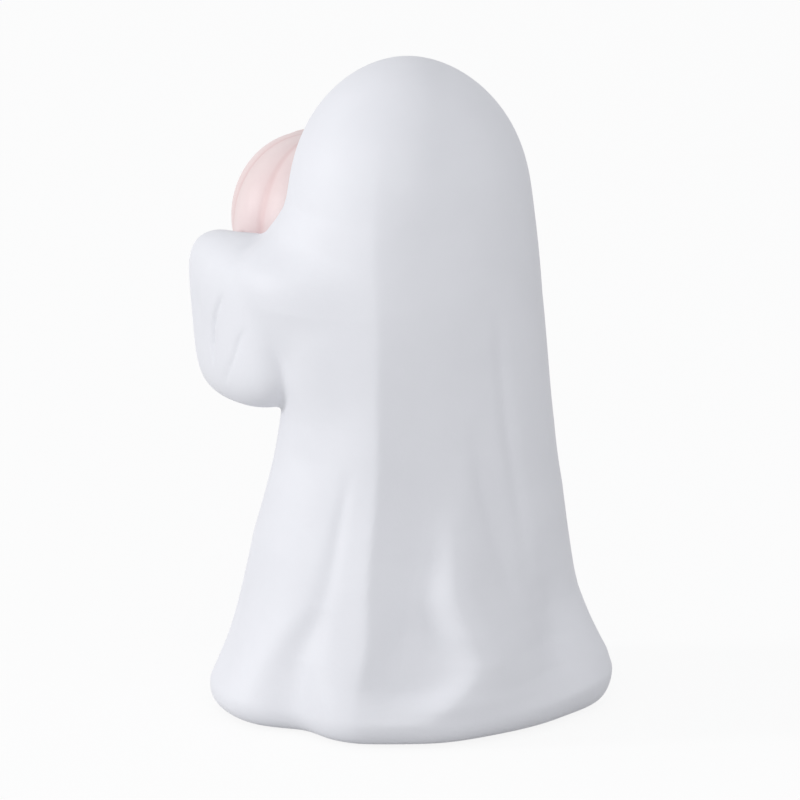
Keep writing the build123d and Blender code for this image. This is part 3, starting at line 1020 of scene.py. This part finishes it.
def makeLamp(name, way, distance, size, power):
    right, back, up = cameraAxes()
    toward = Vector((back.x, back.y, 0)).normalized()
    lamp = bpy.data.objects.new(name, bpy.data.lights.new(name, "AREA"))
    lamp.data.shape = "DISK"
    lamp.data.size = size
    lamp.data.energy = power
    direction = (right * way[0] + toward * way[1] + Vector((0, 0, way[2]))).normalized()
    lamp.location = Vector((0, 0, studio["lampLevel"])) + direction * distance
    lamp.rotation_mode = "QUATERNION"
    lamp.rotation_quaternion = direction.to_track_quat("Z", "Y")
    lamp.visible_camera = False
    bpy.context.scene.collection.objects.link(lamp)


def seenDirectly(tree):
    # 1 for rays that show the stage itself: to the camera, in gloss or through glass
    path = tree.nodes.new("ShaderNodeLightPath")
    total = path.outputs["Is Camera Ray"]
    for name in ("Is Glossy Ray", "Is Transmission Ray"):
        most = tree.nodes.new("ShaderNodeMath")
        most.operation = "MAXIMUM"
        tree.links.new(total, most.inputs[0])
        tree.links.new(path.outputs[name], most.inputs[1])
        total = most.outputs["Value"]
    return total


def mixShaders(tree, share, one, other):
    mix = tree.nodes.new("ShaderNodeMixShader")
    if hasattr(share, "links"):
        tree.links.new(share, mix.inputs["Fac"])
    else:
        mix.inputs["Fac"].default_value = share
    tree.links.new(one, mix.inputs[1])
    tree.links.new(other, mix.inputs[2])
    return mix.outputs["Shader"]


def makeWorld():
    world = bpy.data.worlds.new("studio")
    world.use_nodes = True
    tree = world.node_tree
    shade = tree.nodes["Background"]
    shade.inputs["Color"].default_value = studio["ambientColour"]
    shade.inputs["Strength"].default_value = studio["ambient"]
    white = tree.nodes.new("ShaderNodeBackground")
    white.inputs["Color"].default_value = (1, 1, 1, 1)
    mixed = mixShaders(tree, seenDirectly(tree), shade.outputs["Background"], white.outputs["Background"])
    tree.links.new(mixed, tree.nodes["World Output"].inputs["Surface"])
    bpy.context.scene.world = world


def floorMaterial():
    made, tree, shader = newMaterial("floor_white")
    grain = noiseNode(tree, *studio["floorNoise"])
    tree.links.new(rampNode(tree, grain.outputs["Fac"], studio["floorTones"]), shader.inputs["Base Color"])
    shader.inputs["Roughness"].default_value = studio["floorRoughness"]
    glow = tree.nodes.new("ShaderNodeEmission")
    pale = tree.nodes.new("ShaderNodeBsdfDiffuse")
    pale.inputs["Color"].default_value = (*[studio["floorPale"]] * 3, 1)
    clear = tree.nodes.new("ShaderNodeBsdfTransparent")
    below = tree.nodes.new("ShaderNodeNewGeometry")
    seen = mixShaders(tree, studio["floorWhite"], pale.outputs["BSDF"], glow.outputs["Emission"])
    whole = mixShaders(tree, seenDirectly(tree), shader.outputs["BSDF"], seen)
    sides = mixShaders(tree, below.outputs["Backfacing"], whole, clear.outputs["BSDF"])  # clear from below
    tree.links.new(sides, tree.nodes["Material Output"].inputs["Surface"])
    return made


def makeFloor():
    half = studio["floorHalf"]
    plan = ((-half, -half), (half, -half), (half, half), (-half, half))
    corners = [(x, y, studio["floorLevel"]) for x, y in plan]
    mesh = bpy.data.meshes.new("floor")
    mesh.from_pydata(corners, [], [(0, 1, 2, 3)])
    mesh.materials.append(floorMaterial())
    floor = bpy.data.objects.new("floor", mesh)
    bpy.context.scene.collection.objects.link(floor)


makeCamera()
makeWorld()
makeFloor()
makeLamp("key", studio["keyWay"], studio["keyDistance"], studio["keySize"], studio["keyPower"])
makeLamp("fill", studio["fillWay"], studio["fillDistance"], studio["fillSize"], studio["fillPower"])
bpy.context.scene.view_settings.view_transform = "Standard"
print("stage set")
